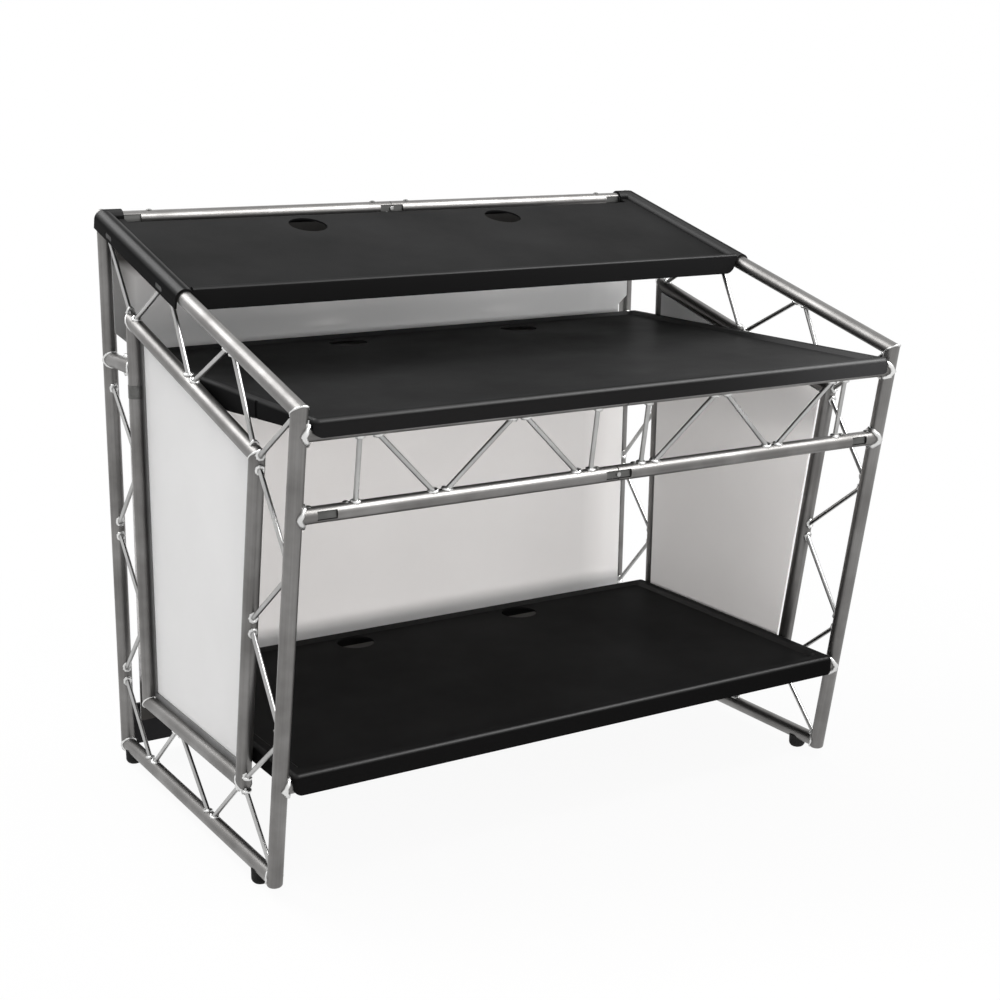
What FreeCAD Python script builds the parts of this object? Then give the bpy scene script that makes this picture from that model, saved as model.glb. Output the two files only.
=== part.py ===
import FreeCAD, Part
import math
import os

from FreeCAD import Vector

# A folding console for a disc jockey: two laced tube side frames, hinged cross members between them,
# three lift-off moulded trays, two side sheets, a front sheet and a foot board.
# X runs across the console, +Y points away from the person who works at it, +Z is up. Millimetres.

# Driving dimensions: the side frames
frame_half_spacing = 700.0
tube_od = 32.0
tube_wall = 2.0
brace_d = 10.0
foot_drop = 20.0
foot_d = 38.0
foot_round = 12.0
far_foot_y = -42.0
near_foot_y = -767.0
upright_end_round = 6.0
upright_end_plug = 10.0

# Corners of the outer tube loop of a side frame, as (y, z) on the tube axes
far_bottom = (-4.0, foot_drop + tube_od / 2)
far_top = (-28.0, 1258.0)
near_top = (-1007.0, 994.0)
near_bottom = (-837.0, foot_drop + tube_od / 2)

# Distance from the outer loop to the inner loop on each side
inner_gap_far = 160.0
inner_gap_slope = 160.0
inner_gap_near = 167.0
inner_gap_bottom = 154.0

# Lacing nodes, as fractions along each tube from its first corner to its second
slope_outer_nodes = (0.375, 0.702)
slope_inner_node = 0.50
near_outer_nodes = (0.678, 0.320)
near_inner_node = 0.509
bottom_outer_nodes = (0.193, 0.611)
bottom_inner_node = 0.345
far_outer_nodes = (0.145, 0.432, 0.710)
far_inner_nodes = (0.227, 0.635)
near_corner_drop = 8.0

# Cross members and their hinges
main_level = 951.0
truss_drop = 156.0
lower_level = 241.0
far_lower_level = 195.0
far_main_y = -119.0
joint_inset = 40.0
slot_length = 40.0
slot_height = 17.0
socket_clearance = 0.3
socket_pin_inset = 28.0
pivot_inset = 103.0
link_pin_x = 45.0
centre_slot_length = 30.0
centre_gap = 2.0
tongue_play = 0.5
tongue_height = 14.0
tongue_end = 14.0
socket_reach = 3.0
link_end = 13.0
pin_d = 8.0
pin_play = 0.2
pin_sunk = 0.5
truss_centre_vertical = 61.0
truss_end_vertical_inset = 122.0
truss_web_end_inset = 144.0
truss_web_low_inset = 298.0
truss_web_top = 242.0
truss_web_centre = 80.0

# Trays
tray_wall = 4.0
tray_side_gap = 2.0
tray_notch_room = 2.0
tray_corner_round = 14.0
tray_edge_round = 12.0
tray_rim_height = 8.0
tray_rim_width = 26.0
tray_far_rim_width = 14.0
tray_rim_slope = 9.0
tray_overhang = 24.0
tray_rest_gap = 0.3
main_lip_below_axis = 6.0
lower_lip_below_axis = 15.0
lip_corner_round = 20.0
lip_zone = 10.0
main_skirt_below_axis = (-2.0, 18.0)
lower_skirt_below_axis = (9.0, 9.0)
skirt_slant = 370.0
groove_setback = 245.0
groove_width = 12.0
groove_depth = 2.2
cable_hole_d = 88.0
main_far_edge = -95.0
main_hole_x = (-195.0, 265.0)
main_hole_setback = 93.0
lower_far_edge = -150.0
lower_hole_x = (-205.0, 252.0)
lower_hole_setback = 68.0
saddle_width = 44.0
saddle_depth = 36.0
saddle_inset = 162.0
saddle_middle_x = 24.0

# Top tray, in its own tilted plane: "along" is measured down the slope from the far top tube
top_length = 478.0
channel_play = 0.6
channel_wall = 4.4
channel_far_end = 2.0
outer_skirt = 20.0
top_floor_over_axis = 6.0
top_lip_over_axis = 20.0
top_lip_under_axis = 26.0
top_lip_bead = 16.0
top_lip_round = 7.0
top_lip_corner = 20.0
top_lip_draft = 2.0
top_far_edge = 40.0
top_far_flange = 12.0
top_far_round = 4.0
corner_arch_inset = 39.0
corner_arch_drop = 8.0
top_holes = ((-262.0, 106.0), (254.0, 106.0))
skirt_slot_setback = (89.0, 92.0)
skirt_slot_size = (38.0, 11.0)
skirt_slot_drop = 9.0
skirt_slot_depth = 2.4

# Sheets
sheet_thickness = 3.0
strip_thickness = 4.0
strip_reach = 30.0
side_sheet_setback = 10.0
side_sheet_inset = 13.5
side_sheet_near_inset = 17.0
front_sheet_edge_inset = 8.0
front_sheet_rest_gap = 0.2
front_sheet_bow = 12.0
front_sheet_bend_radius = 211.0
front_sheet_margin = 20.0
front_sheet_z = (92.0, 1240.0)
notch_z = (918.0, 988.0)
notch_depth = 26.0
notch_slant = 22.0
relief_inset = 45.0
relief_height = 11.0
left_cutback = 20.0
board_z = (28.0, 127.0)
board_y = (-2.0, 10.0)
board_end_gap = 0.2
board_round = 3.0

# Places and sizes that follow from these
tube_r = tube_od / 2
bore_r = tube_r - tube_wall
left_x = -frame_half_spacing
joint_x = frame_half_spacing - joint_inset
socket_pin_x = frame_half_spacing - socket_pin_inset
pivot_x = frame_half_spacing - pivot_inset
tongue_width = 2 * math.sqrt((bore_r - tongue_play) ** 2 - (tongue_height / 2) ** 2)
pin_length = tube_od - 2 * pin_sunk
truss_verticals = (truss_centre_vertical, frame_half_spacing - truss_end_vertical_inset)
web_end = frame_half_spacing - truss_web_end_inset
web_low = frame_half_spacing - truss_web_low_inset
truss_web = ((web_end, web_low), (truss_web_top, web_low), (truss_web_top, truss_web_centre))
tray_half_width = frame_half_spacing - tube_r - tray_side_gap
main_holes = [(x, main_far_edge - main_hole_setback) for x in main_hole_x]
lower_holes = [(x, lower_far_edge - lower_hole_setback) for x in lower_hole_x]
skirt_slots = (skirt_slot_setback[0], top_length - skirt_slot_setback[1])
saddle_x = (saddle_inset - tray_half_width, saddle_middle_x, tray_half_width - saddle_inset)
saddle_y = (lower_far_edge - tray_wall - saddle_depth, lower_far_edge - tray_wall)
corner_arch_from = frame_half_spacing - corner_arch_inset
side_sheet_x = frame_half_spacing - side_sheet_setback
front_sheet_half_width = frame_half_spacing - front_sheet_edge_inset
board_half_length = frame_half_spacing - tube_r - board_end_gap


# Plane geometry in (y, z)

def unit(a, b):
    length = math.hypot(b[0] - a[0], b[1] - a[1])
    return ((b[0] - a[0]) / length, (b[1] - a[1]) / length)


def along(a, b, fraction):
    return (a[0] + (b[0] - a[0]) * fraction, a[1] + (b[1] - a[1]) * fraction)


def shifted(a, b, distance):
    """The line from a to b moved sideways, to the left of its direction."""
    dy, dz = unit(a, b)
    move = (-dz * distance, dy * distance)
    return ((a[0] + move[0], a[1] + move[1]), (b[0] + move[0], b[1] + move[1]))


def meet(first, second):
    (ay, az), (by, bz) = first
    (cy, cz), (dy, dz) = second
    det = (by - ay) * (dz - cz) - (bz - az) * (dy - cy)
    t = ((cy - ay) * (dz - cz) - (cz - az) * (dy - cy)) / det
    return (ay + (by - ay) * t, az + (bz - az) * t)


def loop_inside(corners, gaps):
    """Corners of a loop inside another; the corners run far bottom, far top, near top, near bottom."""
    lines = []
    for i in range(4):
        lines.append(shifted(corners[i], corners[(i + 1) % 4], gaps[i]))
    return [meet(lines[i - 1], lines[i]) for i in range(4)]


# Solids

def at(point, x=left_x):
    return Vector(x, point[0], point[1])


def rod(start, end, radius):
    return Part.makeCylinder(radius, (end - start).Length, start, end - start)


def long_rod(a, b, radius, before=60.0, after=60.0):
    direction = (b - a).normalize()
    return rod(a - direction * before, b + direction * after, radius)


def block(x0, x1, y0, y1, z0, z1):
    return Part.makeBox(x1 - x0, y1 - y0, z1 - z0, Vector(x0, y0, z0))


def trimmed(shape, point, outward):
    """The shape without what lies beyond the plane through a point."""
    cutter = Part.makeBox(400, 400, 300, Vector(-200, -200, 0))
    cutter.Placement = FreeCAD.Placement(point, FreeCAD.Rotation(Vector(0, 0, 1), outward))
    return shape.cut(cutter)


def one(shape):
    """The largest solid of a boolean result."""
    return max(shape.Solids, key=lambda solid: solid.Volume)


def mirrored(shape):
    return shape.mirror(Vector(0, 0, 0), Vector(1, 0, 0))


def plate(points, x0, x1):
    """A flat plate in a plane of constant x, from its outline in (y, z)."""
    corners = [at(p, x0) for p in points]
    face = Part.Face(Part.makePolygon(corners + corners[:1]))
    return face.extrude(Vector(x1 - x0, 0, 0))


def rounded_outline(x0, x1, y0, y1, radius, z):
    """A closed rectangular wire with round corners at height z."""
    s = radius * (1 - math.sqrt(0.5))
    arcs = [
        ((x1 - radius, y0), (x1 - s, y0 + s), (x1, y0 + radius)),
        ((x1, y1 - radius), (x1 - s, y1 - s), (x1 - radius, y1)),
        ((x0 + radius, y1), (x0 + s, y1 - s), (x0, y1 - radius)),
        ((x0, y0 + radius), (x0 + s, y0 + s), (x0 + radius, y0)),
    ]
    edges = []
    for i, arc in enumerate(arcs):
        a, b, c = [Vector(p[0], p[1], z) for p in arc]
        after = arcs[(i + 1) % 4][0]
        edges.append(Part.Arc(a, b, c).toShape())
        edges.append(Part.LineSegment(c, Vector(after[0], after[1], z)).toShape())
    return Part.Wire(edges)


nodes = {}

# Side frame, built on the left
outer = [far_bottom, far_top, near_top, near_bottom]
inner_gaps = [inner_gap_far, inner_gap_slope, inner_gap_near, inner_gap_bottom]
inner = loop_inside(outer, inner_gaps)
inner_far_bottom, inner_far_top, inner_near_top, inner_near_bottom = inner

far_rod = long_rod(at(far_bottom), at(far_top), tube_r)
slope_rod = long_rod(at(far_top), at(near_top), tube_r)
near_rod = long_rod(at(near_bottom), at(near_top), tube_r)
bottom_rod = rod(at(far_bottom), at(near_bottom), tube_r)


def bored(shape, a, b):
    return one(shape.cut(long_rod(at(a), at(b), bore_r, 100.0, 100.0)))


def mitre_normal(corner, first, second):
    """Normal of the mitre plane, pointing out of the tube that leaves towards the first point."""
    a = unit(corner, first)
    b = unit(corner, second)
    return Vector(0, b[0] - a[0], b[1] - a[1])


def upright(shape, low, high, over):
    """An upright of the outer loop: mitred at the top, closed at the floor end by a plug with a round edge."""
    shape = trimmed(shape, at(high), mitre_normal(high, low, over))
    shape = trimmed(shape, at((low[0], foot_drop)), Vector(0, 0, -1))
    end_edges = [e for e in shape.Edges if e.BoundBox.ZMax < foot_drop + 0.1]
    shape = shape.makeFillet(upright_end_round, end_edges)
    end = meet((low, high), ((0.0, foot_drop + upright_end_plug), (-500.0, foot_drop + upright_end_plug)))
    return one(shape.cut(long_rod(at(end), at(high), bore_r, 0.0, 100.0)))


def inner_tube(a, b, beyond_a, beyond_b):
    """A full tube of the inner loop from a to b, mitred against its neighbours at both corners."""
    shape = long_rod(at(a), at(b), tube_r)
    shape = trimmed(shape, at(a), mitre_normal(a, b, beyond_a))
    return trimmed(shape, at(b), mitre_normal(b, a, beyond_b))


far_upright = upright(far_rod, far_bottom, far_top, near_top)
near_upright = upright(near_rod, near_bottom, near_top, far_top)
sloped_rail = trimmed(slope_rod, at(far_top), mitre_normal(far_top, near_top, far_bottom))
sloped_rail = trimmed(sloped_rail, at(near_top), mitre_normal(near_top, far_top, near_bottom))
sloped_rail = bored(sloped_rail, far_top, near_top)
bottom_rail = bored(bottom_rod.cut([far_rod, near_rod]), far_bottom, near_bottom)
in_far_rod = inner_tube(inner_far_bottom, inner_far_top, inner_near_bottom, inner_near_top)
in_near_rod = inner_tube(inner_near_bottom, inner_near_top, inner_far_bottom, inner_far_top)
in_slope_rod = inner_tube(inner_far_top, inner_near_top, inner_far_bottom, inner_near_bottom)
in_bottom_rod = inner_tube(inner_far_bottom, inner_near_bottom, inner_far_top, inner_near_top)
in_sloped_rail = bored(in_slope_rod, inner_far_top, inner_near_top)
in_bottom_rail = bored(in_bottom_rod, inner_far_bottom, inner_near_bottom)
in_far_upright = bored(in_far_rod, inner_far_bottom, inner_far_top)
in_near_upright = bored(in_near_rod, inner_near_bottom, inner_near_top)

# Short rung between the two far uprights, at the height of the main tray
rung_outer = meet((far_bottom, far_top), ((0.0, main_level), (-500.0, main_level)))
rung_inner = meet((inner_far_bottom, inner_far_top), ((0.0, main_level), (-500.0, main_level)))
rung_rod = rod(at(rung_outer), at(rung_inner), tube_r)
rung = bored(rung_rod.cut([far_rod, in_far_rod]), rung_outer, rung_inner)

# Lacing: one zigzag of thin bars that meet on the tube axes
slope_nodes = [along(far_top, near_top, f) for f in slope_outer_nodes]
near_nodes = [along(near_bottom, near_top, f) for f in near_outer_nodes]
bottom_nodes = [along(far_bottom, near_bottom, f) for f in bottom_outer_nodes]
far_nodes = [along(far_bottom, far_top, f) for f in far_outer_nodes]
in_far_nodes = [along(inner_far_bottom, inner_far_top, f) for f in far_inner_nodes]
in_slope_middle = along(inner_far_top, inner_near_top, slope_inner_node)
in_near_middle = along(inner_near_bottom, inner_near_top, near_inner_node)
in_bottom_middle = along(inner_far_bottom, inner_near_bottom, bottom_inner_node)
near_way = unit(inner_near_top, inner_near_bottom)
near_corner = (inner_near_top[0] + near_way[0] * near_corner_drop, inner_near_top[1] + near_way[1] * near_corner_drop)
upper_chain = [far_top, inner_far_top, slope_nodes[0], in_slope_middle, slope_nodes[1], near_corner, near_top]
near_chain = [near_corner, near_nodes[0], in_near_middle, near_nodes[1], inner_near_bottom, near_bottom]
low_chain = [inner_near_bottom, bottom_nodes[1], in_bottom_middle, bottom_nodes[0], far_nodes[0]]
far_chain = [far_nodes[0], in_far_nodes[0], far_nodes[1], in_far_nodes[1], far_nodes[2]]
tube_rods = [far_rod, slope_rod, near_rod, bottom_rod, in_far_rod, in_near_rod, in_slope_rod, in_bottom_rod]
braces = []
for chain in (upper_chain, near_chain, low_chain, far_chain):
    for a, b in zip(chain, chain[1:]):
        braces.append(one(rod(at(a), at(b), brace_d / 2).cut(tube_rods)))

# Rubber feet that sit in under the bottom rails
feet = []
for y in (far_foot_y, near_foot_y):
    foot = Part.makeCylinder(foot_d / 2, foot_drop + tube_r * 0.7, Vector(left_x, y, 0))
    lower_edges = [e for e in foot.Edges if e.BoundBox.ZMax < 0.1]
    foot = foot.makeFillet(foot_round, lower_edges)
    feet.append(one(foot.cut(bottom_rod)))


def on_near_upright(z):
    return meet((near_bottom, near_top), ((0.0, z), (-500.0, z)))


def on_inner_far_upright(z):
    return meet((inner_far_bottom, inner_far_top), ((0.0, z), (-500.0, z)))


# White side sheet on the inner side of the inner loop, on flat strips welded inside the tubes
far_lower_axis = on_inner_far_upright(far_lower_level)
socket_room = rod(at(far_lower_axis, 2 * left_x), at(far_lower_axis, 0.0), tube_r + socket_clearance)
ring_outside = loop_inside(inner, [12.0] * 4)
ring_inside = loop_inside(inner, [strip_reach] * 4)
strips = []
for i in (0, 1, 3):
    j = (i + 1) % 4
    outline = [ring_outside[i], ring_outside[j], ring_inside[j], ring_inside[i]]
    strip = plate(outline, -side_sheet_x - strip_thickness, -side_sheet_x)
    strips.append(one(strip.cut([in_far_rod, in_near_rod, in_slope_rod, in_bottom_rod, socket_room])))
sheet_gaps = [side_sheet_inset, side_sheet_inset, side_sheet_near_inset, side_sheet_inset]
side_sheet = plate(loop_inside(inner, sheet_gaps), -side_sheet_x, -side_sheet_x + sheet_thickness)
side_sheet = one(side_sheet.cut(socket_room))

side = {
    "outer_far_upright": far_upright,
    "outer_near_upright": near_upright,
    "outer_sloped_rail": sloped_rail,
    "outer_bottom_rail": bottom_rail,
    "inner_far_upright": in_far_upright,
    "inner_near_upright": in_near_upright,
    "inner_sloped_rail": in_sloped_rail,
    "inner_bottom_rail": in_bottom_rail,
    "far_rung": rung,
    "lacing_braces": Part.makeCompound(braces),
    "rubber_feet": Part.makeCompound(feet),
    "sheet_strips": Part.makeCompound(strips),
    "side_sheet": side_sheet,
}
for name, shape in side.items():
    nodes["left_" + name] = shape
    nodes["right_" + name] = mirrored(shape)


# Cross members: a socket welded to each side frame, a tongue pinned in it, two half tubes and a centre link
truss_bottom_level = main_level - truss_drop
members = {
    "near_top": (on_near_upright(main_level), [near_rod]),
    "near_bottom": (on_near_upright(truss_bottom_level), [near_rod]),
    "near_lower": (on_near_upright(lower_level), [near_rod]),
    "far_top": (far_top, [far_rod, slope_rod]),
    "far_main": ((far_main_y, main_level), [rung_rod]),
    "far_lower": (far_lower_axis, [in_far_rod, in_bottom_rod]),
}
sockets, tongues, frame_pins, links, link_pins = [], [], [], [], []
for name, (axis, anchors) in members.items():
    y, z = axis

    def pin(x, radius=pin_d / 2):
        return Part.makeCylinder(radius, pin_length, Vector(x, y, z - pin_length / 2))

    pin_holes = [pin(-x, pin_d / 2 + pin_play) for x in (socket_pin_x, pivot_x, link_pin_x)]
    wide_holes = [Part.makeCylinder(pin_d / 2 + pin_play, 60, Vector(-x, y, z - 30))
                  for x in (socket_pin_x, pivot_x, link_pin_x)]
    bore = rod(Vector(2 * left_x, y, z), Vector(0, y, z), bore_r)
    socket = rod(Vector(left_x, y, z), Vector(-joint_x, y, z), tube_r).cut(anchors)
    sockets.append(one(socket.cut([bore] + wide_holes)))
    half = rod(Vector(-joint_x, y, z), Vector(-centre_gap / 2, y, z), tube_r)
    outer_slot = block(-joint_x - 1, -joint_x + slot_length, y - 40, y, z - slot_height / 2, z + slot_height / 2)
    inner_slot = block(-centre_slot_length, 1, y - 40, y + 40, z - slot_height / 2, z + slot_height / 2)
    half = one(half.cut([bore, outer_slot, inner_slot] + wide_holes))
    nodes[name + "_tube_left"] = half
    nodes[name + "_tube_right"] = mirrored(half)
    tongue = block(left_x + tube_r + socket_reach, -pivot_x + tongue_end, y - tongue_width / 2, y + tongue_width / 2,
                   z - tongue_height / 2, z + tongue_height / 2)
    tongues.append(one(tongue.cut(wide_holes)))
    frame_pins.extend([pin(-socket_pin_x), pin(-pivot_x)])
    link_half = link_pin_x + link_end
    link = block(-link_half, link_half, y - tongue_width / 2, y + tongue_width / 2,
                 z - tongue_height / 2, z + tongue_height / 2)
    links.append(one(link.cut(wide_holes + [mirrored(hole) for hole in wide_holes])))
    link_pins.extend([pin(-link_pin_x), pin(link_pin_x)])

nodes["left_tube_sockets"] = Part.makeCompound(sockets)
nodes["right_tube_sockets"] = mirrored(nodes["left_tube_sockets"])
nodes["left_hinge_tongues"] = Part.makeCompound(tongues)
nodes["right_hinge_tongues"] = mirrored(nodes["left_hinge_tongues"])
nodes["left_hinge_pins"] = Part.makeCompound(frame_pins)
nodes["right_hinge_pins"] = mirrored(nodes["left_hinge_pins"])
nodes["centre_links"] = Part.makeCompound(links)
nodes["centre_link_pins"] = Part.makeCompound(link_pins)

# Webs of the near truss
top_axis = members["near_top"][0]
bottom_axis = members["near_bottom"][0]
chords = [long_rod(at(a, left_x), at(a, 0.0), tube_r) for a in (top_axis, bottom_axis)]
webs = []
for x in truss_verticals:
    webs.append(one(rod(at(top_axis, -x), at(bottom_axis, -x), brace_d / 2).cut(chords)))
for top_x, bottom_x in truss_web:
    webs.append(one(rod(at(top_axis, -top_x), at(bottom_axis, -bottom_x), brace_d / 2).cut(chords)))
nodes["near_truss_webs_left"] = Part.makeCompound(webs)
nodes["near_truss_webs_right"] = mirrored(nodes["near_truss_webs_left"])


# Main and lower trays: a moulded pan with a raised rim, skirts and two cable holes

def flat_tray(near_axis, far_edge, holes, lip_drop, skirt_drops, far_notch_y=None, saddle_top=None, groove_y=None):
    near_y, axis_z = near_axis
    y0 = near_y - tray_overhang
    y1 = far_edge
    under = axis_z + tube_r + tray_rest_gap
    floor = under + tray_wall
    rim = floor + tray_rim_height
    near_skirt, far_skirt = [axis_z - drop for drop in skirt_drops]
    lip = axis_z - lip_drop
    bottom = min(near_skirt, far_skirt, lip)
    below = bottom - 1
    w = tray_half_width
    body = Part.Face(rounded_outline(-w, w, y0, y1, tray_corner_round, bottom)).extrude(Vector(0, 0, rim - bottom))
    top_edges = [e for e in body.Edges if e.BoundBox.ZMin > rim - 0.1]
    body = body.makeFillet(tray_edge_round, top_edges)
    t = tray_wall
    hollow = rounded_outline(-w + t, w - t, y0 + t, y1 - t, tray_corner_round - t, below)
    hollow = Part.Face(hollow).extrude(Vector(0, 0, under - below))
    r, s = tray_rim_width, tray_rim_slope
    f = tray_far_rim_width
    mouth = rounded_outline(-w + r, w - r, y0 + r, y1 - f, 16.0, rim)
    base = rounded_outline(-w + r + s, w - r - s, y0 + r + s, y1 - f - s, 10.0, floor)
    recess = Part.makeLoft([base, mouth], True)
    # The lip ends above the skirts, and the skirts' lower edge slants down from the lip towards the far side
    lip_end = y0 + lip_zone
    edge_line = [(y0 - 1, below), (y0 - 1, lip), (lip_end, lip), (lip_end, near_skirt),
                 (lip_end + skirt_slant, far_skirt), (y1 + 1, far_skirt), (y1 + 1, below)]
    cutters = [hollow, recess, plate(edge_line, -w - 1, w + 1)]
    for side_x in (-w, w):
        x0, x1 = sorted((side_x * (1 + 1 / w), side_x * (1 - lip_corner_round / w)))
        corner = block(x0, x1, y0 - 1, lip_end, below, lip + lip_corner_round)
        arc_x = side_x * (1 - lip_corner_round / w)
        cutters.append(corner.cut(Part.makeCylinder(lip_corner_round, lip_zone + 1,
                                                    Vector(arc_x, y0 - 1, lip + lip_corner_round), Vector(0, 1, 0))))
        notch_x = sorted((side_x * (1 + 1 / w), side_x * (1 - (tray_corner_round + t) / w)))
        notch_half = tube_r + tray_notch_room
        for y in (near_y, far_notch_y):
            if y is not None:
                cutters.append(block(*notch_x, y - notch_half, y + notch_half, below, under))
        if groove_y is not None:
            groove_x = sorted((side_x * (1 + 1 / w), side_x * (1 - groove_depth / w)))
            cutters.append(block(*groove_x, groove_y - groove_width / 2, groove_y + groove_width / 2, below, rim + 1))
    tray = body.cut(cutters)
    hole_r = cable_hole_d / 2
    saddles = []
    if saddle_top is not None:
        for x in saddle_x:
            saddles.append(block(x - saddle_width / 2, x + saddle_width / 2, *saddle_y, saddle_top, under))
    if saddles:
        tray = tray.fuse(saddles)
    tray = tray.cut([Part.makeCylinder(hole_r, 200, Vector(x, y, under - 100)) for x, y in holes])
    return one(tray.removeSplitter())


near_top_axis = members["near_top"][0]
near_lower_axis = members["near_lower"][0]
lower_saddle = far_lower_level + tube_r + tray_rest_gap
main_groove = near_top_axis[0] - tray_overhang + groove_setback
nodes["main_tray"] = flat_tray(near_top_axis, main_far_edge, main_holes, main_lip_below_axis, main_skirt_below_axis,
                               far_notch_y=far_main_y, groove_y=main_groove)
nodes["lower_tray"] = flat_tray(near_lower_axis, lower_far_edge, lower_holes, lower_lip_below_axis, lower_skirt_below_axis,
                                saddle_top=lower_saddle)

# Top tray, modelled flat with the far tube's axis as its origin, then tilted into place
slope_angle = math.degrees(math.atan2(far_top[1] - near_top[1], far_top[0] - near_top[0]))
inside_r = tube_r + channel_play
outside_r = inside_r + channel_wall
s = frame_half_spacing
pan_x = s - inside_r
floor_top = top_floor_over_axis
floor_under = floor_top - tray_wall
near_end = -top_length

channel_axis = (Vector(s, near_end, 0), Vector(s, channel_far_end, 0))
channel = rod(*channel_axis, outside_r).common(block(s - 50, s + 50, near_end, 50, 0, 50))
channel = channel.fuse(block(s - outside_r, s + outside_r, near_end, channel_far_end, -outer_skirt, 0))
arch = rod(Vector(corner_arch_from, 0, 0), Vector(s, 0, 0), outside_r)
arch = arch.common(block(0, s, -50, 50, 0, 50))
arch = arch.fuse([block(corner_arch_from, pan_x, -outside_r, outside_r, -corner_arch_drop, 0),
                  block(corner_arch_from, pan_x, -top_far_edge - tray_wall, -inside_r, floor_under, floor_top)])
rail_void = rod(Vector(s, near_end - 50, 0), Vector(s, 80, 0), inside_r)
rail_void = rail_void.fuse(block(s - inside_r, s + inside_r, near_end - 50, 80, -60, 0))
tube_void = rod(Vector(0, 0, 0), Vector(s, 0, 0), inside_r)
tube_void = tube_void.fuse(block(0, s, -inside_r, inside_r, -60, 0))
under_pan = block(s - 60, pan_x + 1, near_end - 1, -outside_r, -60, floor_under)
corner = channel.cut([rail_void, under_pan]).fuse(arch.cut(tube_void)).cut([rail_void, tube_void])
slot_l, slot_h = skirt_slot_size
for u in skirt_slots:
    half = (slot_l - slot_h) / 2
    slot_x = s + outside_r - skirt_slot_depth
    corner = corner.cut([
        block(slot_x, s + 60, -u - half, -u + half, -skirt_slot_drop - slot_h / 2, -skirt_slot_drop + slot_h / 2),
        Part.makeCylinder(slot_h / 2, 60, Vector(slot_x, -u - half, -skirt_slot_drop), Vector(1, 0, 0)),
        Part.makeCylinder(slot_h / 2, 60, Vector(slot_x, -u + half, -skirt_slot_drop), Vector(1, 0, 0)),
    ])
flange_end = floor_under - top_far_flange
pan_profile = [(near_end, floor_under), (near_end, floor_top), (-top_far_edge, floor_top), (-top_far_edge, flange_end),
               (-top_far_edge - tray_wall, flange_end), (-top_far_edge - tray_wall, floor_under)]
pan = plate(pan_profile, -pan_x, pan_x)
far_edges = [e for e in pan.Edges if e.BoundBox.YMin > -top_far_edge - 0.1 and e.BoundBox.ZMin > floor_top - 0.1]
pan = pan.makeFillet(top_far_round, far_edges)
lip_inside = near_end + top_lip_bead
lip_profile = [(near_end, floor_under), (lip_inside + top_lip_draft, floor_under), (lip_inside + top_lip_draft, floor_top),
               (lip_inside, top_lip_over_axis), (near_end, top_lip_over_axis)]
lip = plate(lip_profile, -pan_x, pan_x)
lip_edges = [e for e in lip.Edges if e.BoundBox.ZMin > top_lip_over_axis - 0.1 and e.Length > 100]
lip = lip.makeFillet(top_lip_round, lip_edges)
front = block(-pan_x, pan_x, near_end, near_end + tray_wall, -top_lip_under_axis, floor_under)
low_corners = [e for e in front.Edges if e.BoundBox.ZMax < 0.1 - top_lip_under_axis and e.BoundBox.XLength < 0.1]
front = front.makeFillet(top_lip_corner, low_corners)
hole_r = cable_hole_d / 2
top_tray = pan.fuse([lip, front, corner, mirrored(corner)])
top_tray = top_tray.cut([Part.makeCylinder(hole_r, 200, Vector(x, -u, -100)) for x, u in top_holes])
top_tray = one(top_tray.removeSplitter())
top_tray.rotate(Vector(0, 0, 0), Vector(1, 0, 0), slope_angle)
top_tray.translate(Vector(0, far_top[0], far_top[1]))
nodes["top_tray"] = top_tray


# Front sheet: its margins lie on the near side of the far uprights, its middle is bowed a little away
# It is drawn with the uprights standing straight at y = 0 and then leaned with them
sheet_edge_on_tube = math.sqrt(tube_r ** 2 - (frame_half_spacing - front_sheet_half_width) ** 2)
front_sheet_y = -sheet_edge_on_tube - front_sheet_rest_gap - sheet_thickness / 2
upright_lean = math.degrees(math.atan2(far_bottom[0] - far_top[0], far_top[1] - far_bottom[1]))

def sheet_side(offset):
    """Edges of one face of the sheet, from left to right, moved sideways by an offset."""
    radius = front_sheet_bend_radius
    turn = math.acos(1 - front_sheet_bow / (2 * radius))
    y_edge = front_sheet_y
    y_mid = front_sheet_y + front_sheet_bow
    bend_start = front_sheet_half_width - front_sheet_margin
    run = 2 * radius * math.sin(turn)

    def first(a):
        reach = radius - offset
        return Vector(-bend_start + reach * math.sin(a), y_edge + radius - reach * math.cos(a), 0)

    def second(a):
        reach = radius + offset
        return Vector(-bend_start + run - reach * math.sin(a), y_mid - radius + reach * math.cos(a), 0)

    def flip(v):
        return Vector(-v.x, v.y, 0)

    left_end = Vector(-front_sheet_half_width, y_edge + offset, 0)
    a0, a1, a2 = first(0), first(turn / 2), first(turn)
    b1, b2 = second(turn / 2), second(0)
    return [
        Part.LineSegment(left_end, a0).toShape(),
        Part.Arc(a0, a1, a2).toShape(),
        Part.Arc(a2, b1, b2).toShape(),
        Part.LineSegment(b2, flip(b2)).toShape(),
        Part.Arc(flip(b2), flip(b1), flip(a2)).toShape(),
        Part.Arc(flip(a2), flip(a1), flip(a0)).toShape(),
        Part.LineSegment(flip(a0), flip(left_end)).toShape(),
    ]


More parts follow.
